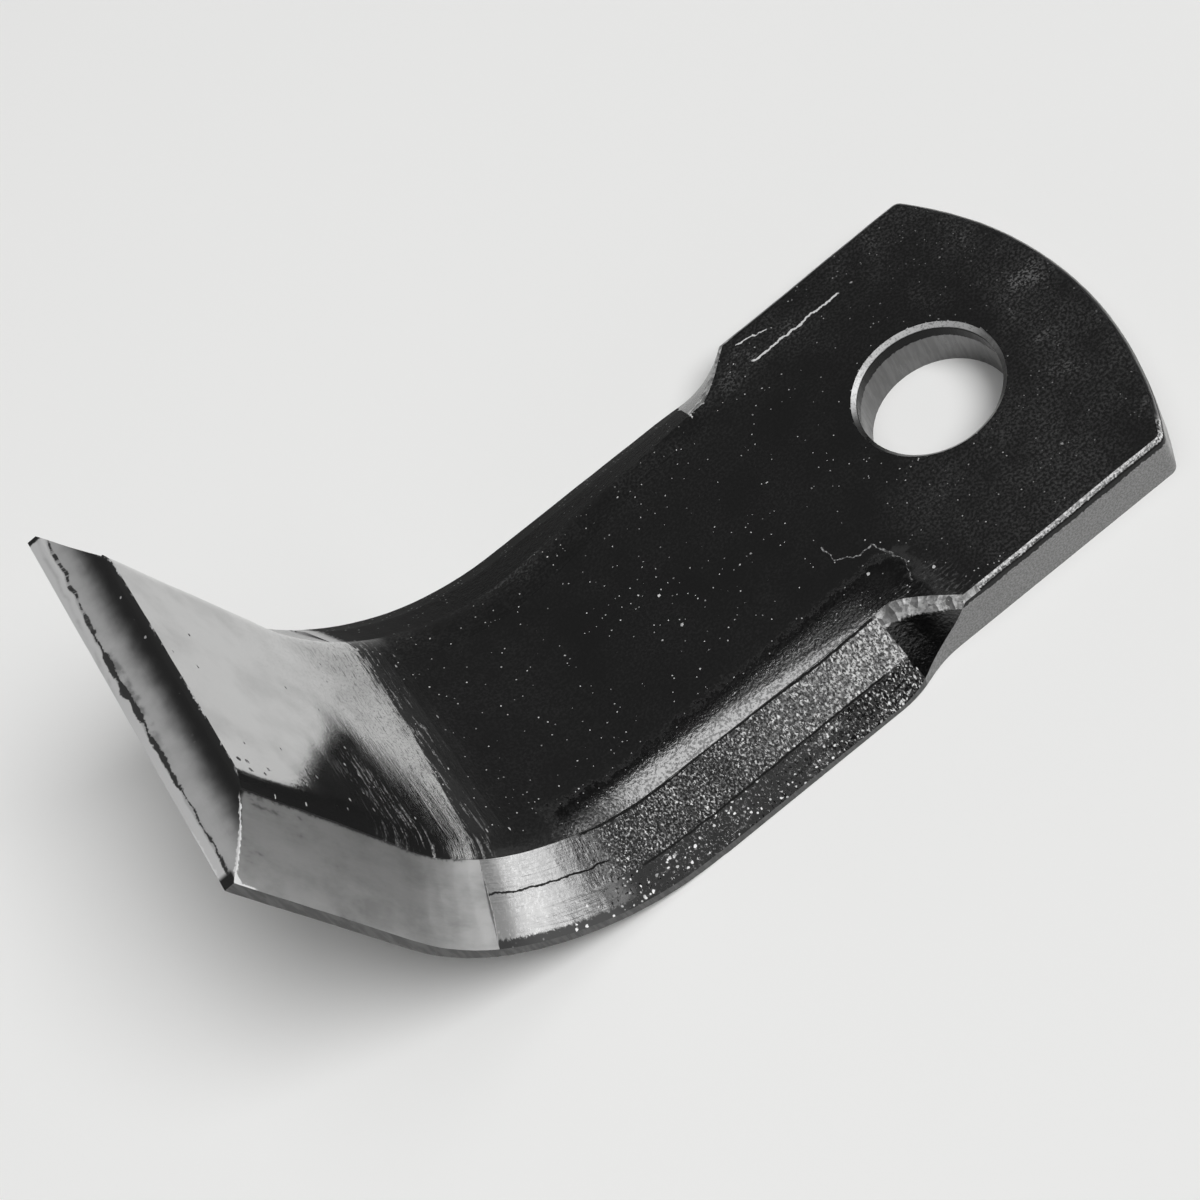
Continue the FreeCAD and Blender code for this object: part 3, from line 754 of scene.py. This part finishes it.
@dataclass(frozen=True)
class WheelGroundSteel:
    """The blade's tip, hollowed by a grinding wheel: pale and satin, with a chipped line by the edge."""

    colour: str = "#bdbdbd"
    dark_colour: str = "#5a5a5a"
    line_height: float = 1.35

    def material(self) -> bpy.types.Material:
        """Builds the material."""
        skin = SteelTree("wheel_ground_steel")
        across, height = skin.across, skin.height
        lines = skin.noise(skin.scaled(skin.solid, (1.0, 0.05, 1.0)), 0.30, 2.0, 0.6)
        clouds = skin.noise(skin.solid, 3.5, 4.0, 0.6)
        grain = skin.noise(skin.solid, 0.6, 3.0, 0.6)
        # The wheel took off most steel near the edge; towards the crease the tip is painted darker, as painted shade
        # in the hollow.
        level = skin.plus(height, skin.stray(clouds, 1.4))
        hollow = skin.ramp(level, 2.2, 6.6, 1.0, 0.0)
        rise = skin.ramp(across, 4.0, 30.0, 0.0, 0.9)
        wide = skin.noise(skin.scaled(skin.solid, (0.0, 1.0, 0.0)), 5.0, 2.0, 0.5)
        sway = skin.stray(wide, 1.2)
        middle = skin.plus(rise, self.line_height, sway)
        burr = skin.noise(skin.scaled(skin.solid, (1.0, 0.45, 1.0)), 1.6, 2.0, 0.5)
        crumble = skin.noise(skin.solid, 0.30, 3.0, 0.65)
        above = skin.less(height, middle)
        above = skin.plus(above, skin.stray(burr, skin.ramp(across, 6.0, 16.0, 0.95, 0.30)))
        thick = skin.both(
            skin.ramp(skin.math("ABSOLUTE", skin.less(across, 1.0)), 4.0, 20.0, 0.34, 0.17),
            skin.ramp(clouds, 0.40, 0.60, 0.35, 1.25),
        )
        fray = skin.stray(crumble, skin.ramp(across, 6.0, 16.0, 0.62, 0.16))
        thick = skin.plus(thick, fray)
        chipped = skin.ramp(skin.less(thick, skin.math("ABSOLUTE", above)), -0.07, 0.07, 0.0, 0.95)
        gaps = skin.noise(skin.scaled(skin.solid, (0.0, 1.0, 0.0)), 1.1, 2.0, 0.6)
        chipped = skin.both(
            chipped, skin.either(skin.ramp(across, 16.0, 12.0), skin.ramp(gaps, 0.40, 0.52, 0.2, 1.0))
        )
        smudge = skin.both(
            skin.band(above, 0.0, 0.9, 0.5),
            skin.ramp(skin.math("ABSOLUTE", across), 14.0, 4.0),
            skin.ramp(clouds, 0.42, 0.58),
        )
        second = skin.both(
            skin.ramp(across, -2.0, 6.0), skin.band(above, -1.3, -0.9, 0.45), skin.ramp(clouds, 0.40, 0.60, 0.3, 1.0)
        )
        second = skin.either(skin.both(second, 0.20), skin.both(smudge, 0.50))
        strip = skin.ramp(skin.less(middle, height), 0.1, 0.4)
        pits = skin.both(skin.ramp(hollow, 0.0, 0.6, 1.0, 0.0), skin.specks(skin.solid, 1.3, 0.20, 0.22, 4.0))
        far_nick = skin.ramp(skin.plus(across, skin.both(grain, 0.8)), 31.5, 31.9)
        near_nick = skin.both(skin.ramp(across, -30.0, -30.8), skin.ramp(height, 1.9, 1.5))
        worn = skin.ramp(skin.plus(skin.edge, grain), 1.26, 1.36)
        crest = skin.both(
            worn,
            skin.either(
                skin.ramp(across, -22.0, -23.0), skin.both(skin.ramp(height, 5.5, 6.0), skin.ramp(clouds, 0.5, 0.6))
            ),
        )
        relief = skin.less(skin.both(lines, 0.012), skin.both(chipped, 0.12))
        colour = skin.colour(hollow, self.dark_colour, skin.colour(clouds, self.colour, "#a3a3a3"))
        colour = skin.colour(strip, colour, "#d1d1d1")
        colour = skin.colour(skin.either(skin.both(pits, 0.5), crest), colour, "#dcdcdc")
        colour = skin.colour(skin.either(chipped, second, far_nick, near_nick), colour, "#2d2d2d")
        rough = skin.ramp(hollow, 0.0, 1.0, 0.34, 0.50)
        dull = skin.either(skin.ramp(hollow, 0.0, 1.0, 0.10, 0.62), skin.both(strip, 0.62))
        film = skin.either(dull, skin.both(skin.either(chipped, crest, pits), 0.7))
        return skin.finish(colour, rough, film, relief)


@dataclass(frozen=True)
class ShearedSteel:
    """Steel cut by the trimming die: a satin grey wall with upright drag lines, with a painted dark band and a
    painted highlight along its top edge.
    """

    colour: str = "#bcbcbc"
    dull_colour: str = "#9c9c9c"
    rim_height: float = 6.3

    def material(self) -> bpy.types.Material:
        """Builds the material."""
        skin = SteelTree("die_sheared_steel")
        height = skin.height
        drag = skin.noise(skin.scaled(skin.solid, (1.0, 1.0, 0.12)), 0.5, 3.0, 0.6)
        edge = skin.region(Region.BLUNT_EDGE)
        bore = skin.region(Region.BORE)
        clouds = skin.noise(skin.solid, 5.0, 3.0, 0.6)
        grain = skin.noise(skin.solid, 0.6, 3.0, 0.6)
        crumble = skin.noise(skin.solid, 0.30, 2.0, 0.65)
        ragged = skin.plus(height, skin.stray(clouds, 0.9))
        ragged = skin.plus(ragged, skin.stray(grain, 0.8))
        side = add_node(
            skin.tree, "VectorMath", {"operation": "DOT_PRODUCT", "in:1": (0.011, 0.092, 0.0)}, n0=skin.solid
        )
        towards = side.outputs["Value"]
        head = skin.region(Region.HEAD_SIDE)
        ragged = skin.plus(ragged, skin.both(bore, 0.75))
        top = skin.plus(height, skin.both(head, -0.25))
        # Painted shade: a dark band under the top edge of the sides and of the bore's far wall, for the dark lower
        # part of the edge's rounding.
        black = skin.both(skin.ramp(ragged, self.rim_height, self.rim_height + 0.2), skin.ramp(top, 7.45, 7.33))
        black = skin.both(black, skin.either(skin.ramp(bore, 0.0, 1.0, 1.0, 0.0), skin.ramp(towards, -0.1, 0.3)))
        # Painted highlight: a pale crescent on the bore's far top edge and a pale line along the head's top edge.
        crescent = skin.both(bore, skin.ramp(height, 7.35, 7.45), skin.ramp(towards, 0.10, 0.50))
        crescent = skin.both(crescent, skin.ramp(crumble, 0.30, 0.50, 0.5, 1.0))
        frayed = skin.plus(height, skin.stray(crumble, 0.7))
        pale = skin.both(
            head,
            skin.ramp(frayed, 7.62, 7.74),
            skin.ramp(crumble, 0.42, 0.58, 0.10, 1.0),
            skin.ramp(skin.across, -26.0, -28.0, 0.12, 1.0),
        )
        pale = skin.either(pale, crescent)
        rough = skin.plus(skin.ramp(clouds, 0.3, 0.7, 0.26, 0.40), skin.both(black, -0.1))
        colour = skin.colour(clouds, self.colour, self.dull_colour)
        colour = skin.colour(
            skin.either(edge, skin.both(bore, 0.8)),
            colour,
            skin.colour(skin.ramp(drag, 0.4, 0.6), "#666666", "#575757"),
        )
        colour = skin.colour(head, colour, skin.colour(skin.ramp(crumble, 0.35, 0.65), "#949494", "#757575"))
        # The painted dark band, then the painted highlights.
        colour = skin.colour(black, colour, "#161616")
        colour = skin.colour(pale, colour, "#d8d8d8")
        film = skin.either(skin.both(pale, 0.6), skin.both(black, 0.8))
        return skin.finish(colour, rough, film, skin.both(drag, 0.03))


@dataclass
class Blade:
    """The forged blade, dressed from a copy of its solid."""

    node: str = "blade"
    slice_mm: float = 1.15
    thickness: float = 8.0 * MM
    bend_start: float = BEND_START * MM
    bend_radius: float = 29.3 * MM
    bend_angle: float = math.radians(76.0)
    grinding_angle: float = math.radians(54.0)
    scoop_end: float = SCOOP_END * MM
    neck_crease: float = 23.1 * MM
    bend_crease: float = 21.9 * MM
    ridge: float = 28.5 * MM
    bore_radius: float = 10.25 * MM
    sharp_angle: float = math.radians(14.0)
    worn_angle: float = math.radians(24.0)
    worn_width: float = 1.0 * MM
    wear_seed: int = 5
    forged: ForgedSteel = ForgedSteel()
    pebbled: PebbledSteel = PebbledSteel()
    scooped: ScoopSteel = ScoopSteel()
    ground: GroundSteel = GroundSteel()
    hollowed: WheelGroundSteel = WheelGroundSteel()
    sheared: ShearedSteel = ShearedSteel()

    def build(self, source: bpy.types.Object) -> bpy.types.Object:
        """Makes the visible blade from the solid's mesh.

        Args:
            source: The solid's object.

        Returns:
            The dressed blade.
        """
        shape = bmesh.new()
        shape.from_mesh(source.data)
        bmesh.ops.remove_doubles(shape, verts=shape.verts, dist=0.002 * MM)
        self.slice(shape)
        self.mark_edges(shape)
        self.mark_skin(shape)
        self.wear(shape)
        mesh = bpy.data.meshes.new("forged_blade")
        shape.to_mesh(mesh)
        shape.free()
        blade = bpy.data.objects.new("forged_blade", mesh)
        bpy.context.scene.collection.objects.link(blade)
        for finish in (self.forged, self.pebbled, self.scooped, self.ground, self.hollowed, self.sheared):
            mesh.materials.append(finish.material())
        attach(blade, "root")
        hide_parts(self.node)
        return blade

    def slice(self, shape: bmesh.types.BMesh) -> None:
        """Cuts the skin into small faces, so that it shades smoothly and can be worn."""
        low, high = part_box(self.node)
        for axis in range(3):
            count = math.ceil((high[axis] - low[axis]) / (self.slice_mm * MM))
            normal = Vector([float(axis == other) for other in range(3)])
            for step in range(1, count):
                place = normal * (low[axis] + (high[axis] - low[axis]) * step / count)
                geometry = shape.verts[:] + shape.edges[:] + shape.faces[:]
                bmesh.ops.bisect_plane(shape, geom=geometry, plane_co=place, plane_no=normal, dist=1e-6)

    def mark_edges(self, shape: bmesh.types.BMesh) -> None:
        """Shades the skin smoothly between its sharp edges."""
        for face in shape.faces:
            face.smooth = True
        for edge in shape.edges:
            edge.smooth = not edge.is_manifold or edge.calc_face_angle(0.0) < self.sharp_angle

    def unbend(self, point: Vector) -> tuple[float, float, float]:
        """Finds where a point would lie on the straight bar.

        Args:
            point: A point in the blade's frame.

        Returns:
            The distance along the bar from the bore, the height above the underside, and the bend's
            angle at the point.
        """
        centre_height = self.bend_radius + self.thickness
        back = -point.x - self.bend_start
        if back <= 0:
            return -point.x, point.z, 0.0
        angle = math.atan2(back, centre_height - point.z)
        middle = self.bend_radius + self.thickness / 2
        if 0 <= angle <= self.bend_angle:
            distance = math.hypot(back, centre_height - point.z)
            return self.bend_start + middle * angle, centre_height - distance, angle
        sine, cosine = math.sin(self.bend_angle), math.cos(self.bend_angle)
        rise = point.z - centre_height
        along = back * cosine + rise * sine
        outward = back * sine - rise * cosine
        return self.bend_start + middle * self.bend_angle + along, centre_height - outward, self.bend_angle

    def region(self, centre: Vector, normal: Vector) -> Region:
        """Names the region that a face belongs to.

        Args:
            centre: Middle of the face.
            normal: Direction that the face points in.

        Returns:
            The region.
        """
        along, _, angle = self.unbend(centre)
        up = normal.x * math.sin(angle) + normal.z * math.cos(angle)
        on = -normal.x * math.cos(angle) + normal.z * math.sin(angle)
        side = abs(normal.y)
        off = abs(centre.y)
        share = (along - self.scoop_end) / (self.bend_start - self.scoop_end)
        crease = self.neck_crease + (self.bend_crease - self.neck_crease) * clamp(share)
        if math.hypot(centre.x, centre.y) < self.bore_radius + 0.8 * MM:
            return Region.BORE
        if up < -0.9:
            return Region.BACK
        if on > 0.6:
            return Region.TIP
        if along < self.scoop_end + 0.2 * MM:
            if up > 0.995:
                return Region.FACE
            if off > self.bend_crease and 0.15 < up and along > 14 * MM:
                return Region.SCOOP
            return Region.HEAD_SIDE
        if up > 0.999 and off < crease:
            return Region.FACE
        if off < crease + 0.02 * MM:
            return Region.SHOULDER
        if side > 0.95:
            return Region.BLUNT_EDGE
        if angle > self.grinding_angle:
            return Region.GROUND_SIDE
        return Region.UPPER_BEVEL if off < self.ridge else Region.LOWER_BEVEL

    def is_corner(self, edge: bmesh.types.BMEdge) -> bool:
        """Tells whether an edge is an outward corner that wears bright."""
        return edge.is_manifold and edge.calc_face_angle_signed(0.0) > self.worn_angle

    def mark_skin(self, shape: bmesh.types.BMesh) -> None:
        """Writes each face's region, its finish and its place on the unrolled skin."""
        region_layer = shape.faces.layers.float.new("region")
        height_layer = shape.verts.layers.float.new("height")
        edge_layer = shape.verts.layers.float.new("edge")
        skin_layer = shape.loops.layers.uv.new("unrolled")
        sharp = {vert for edge in shape.edges if self.is_corner(edge) for vert in edge.verts}
        tree = kdtree.KDTree(len(sharp))
        for number, vert in enumerate(sharp):
            tree.insert(vert.co, number)
        tree.balance()
        for vert in shape.verts:
            vert[height_layer] = self.unbend(vert.co)[1] / MM
            vert[edge_layer] = max(0.0, 1.0 - tree.find(vert.co)[2] / self.worn_width)
        finishes = {
            Region.UPPER_BEVEL: 1,
            Region.LOWER_BEVEL: 1,
            Region.SCOOP: 2,
            Region.GROUND_SIDE: 3,
            Region.TIP: 4,
            Region.HEAD_SIDE: 5,
            Region.BLUNT_EDGE: 5,
            Region.BORE: 5,
        }
        for face in shape.faces:
            region = self.region(face.calc_center_median(), face.normal)
            face[region_layer] = float(region)
            face.material_index = finishes.get(region, 0)
            for loop in face.loops:
                along, _, _ = self.unbend(loop.vert.co)
                loop[skin_layer].uv = (along, loop.vert.co.y)

    def wear(self, shape: bmesh.types.BMesh) -> None:
        """Makes the skin as uneven as a forging's, inside the solid's own box."""
        # Without a seed of its own the noise starts from the clock, and differs from run to run.
        noise.seed_set(self.wear_seed)
        low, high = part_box(self.node)
        for vert in shape.verts:
            along, height, _ = self.unbend(vert.co)
            inside = clamp((-vert.co.y - 14 * MM) / (8 * MM))
            length = clamp((along - 27 * MM) / (10 * MM)) * clamp((78 * MM - along) / (12 * MM))
            upper = clamp((height - 4 * MM) / (3 * MM))
            vert.co.z -= 0.32 * MM * inside**2 * length * upper
            broad = noise.noise_vector(vert.co / (11 * MM))
            close = noise.noise_vector(vert.co / (3.2 * MM) + Vector((7.0, 3.0, 5.0)))
            moved = vert.co + broad * 0.10 * MM + close * 0.035 * MM
            for axis in range(3):
                moved[axis] = min(max(moved[axis], low[axis]), high[axis])
            if vert.co.z > low.z + 0.01 * MM:
                vert.co = moved


def main() -> None:
    """Builds the scene and reports each piece."""
    logging.basicConfig(level=logging.INFO, format="%(message)s")
    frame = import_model()
    PhotoCamera().place()
    Studio().build()
    blade = Blade().build(frame["nodes"]["blade"])
    log.info("%s: %d faces", blade.name, len(blade.data.polygons))
    bpy.context.scene.view_settings.view_transform = "Standard"


if __name__ == "__main__":
    main()
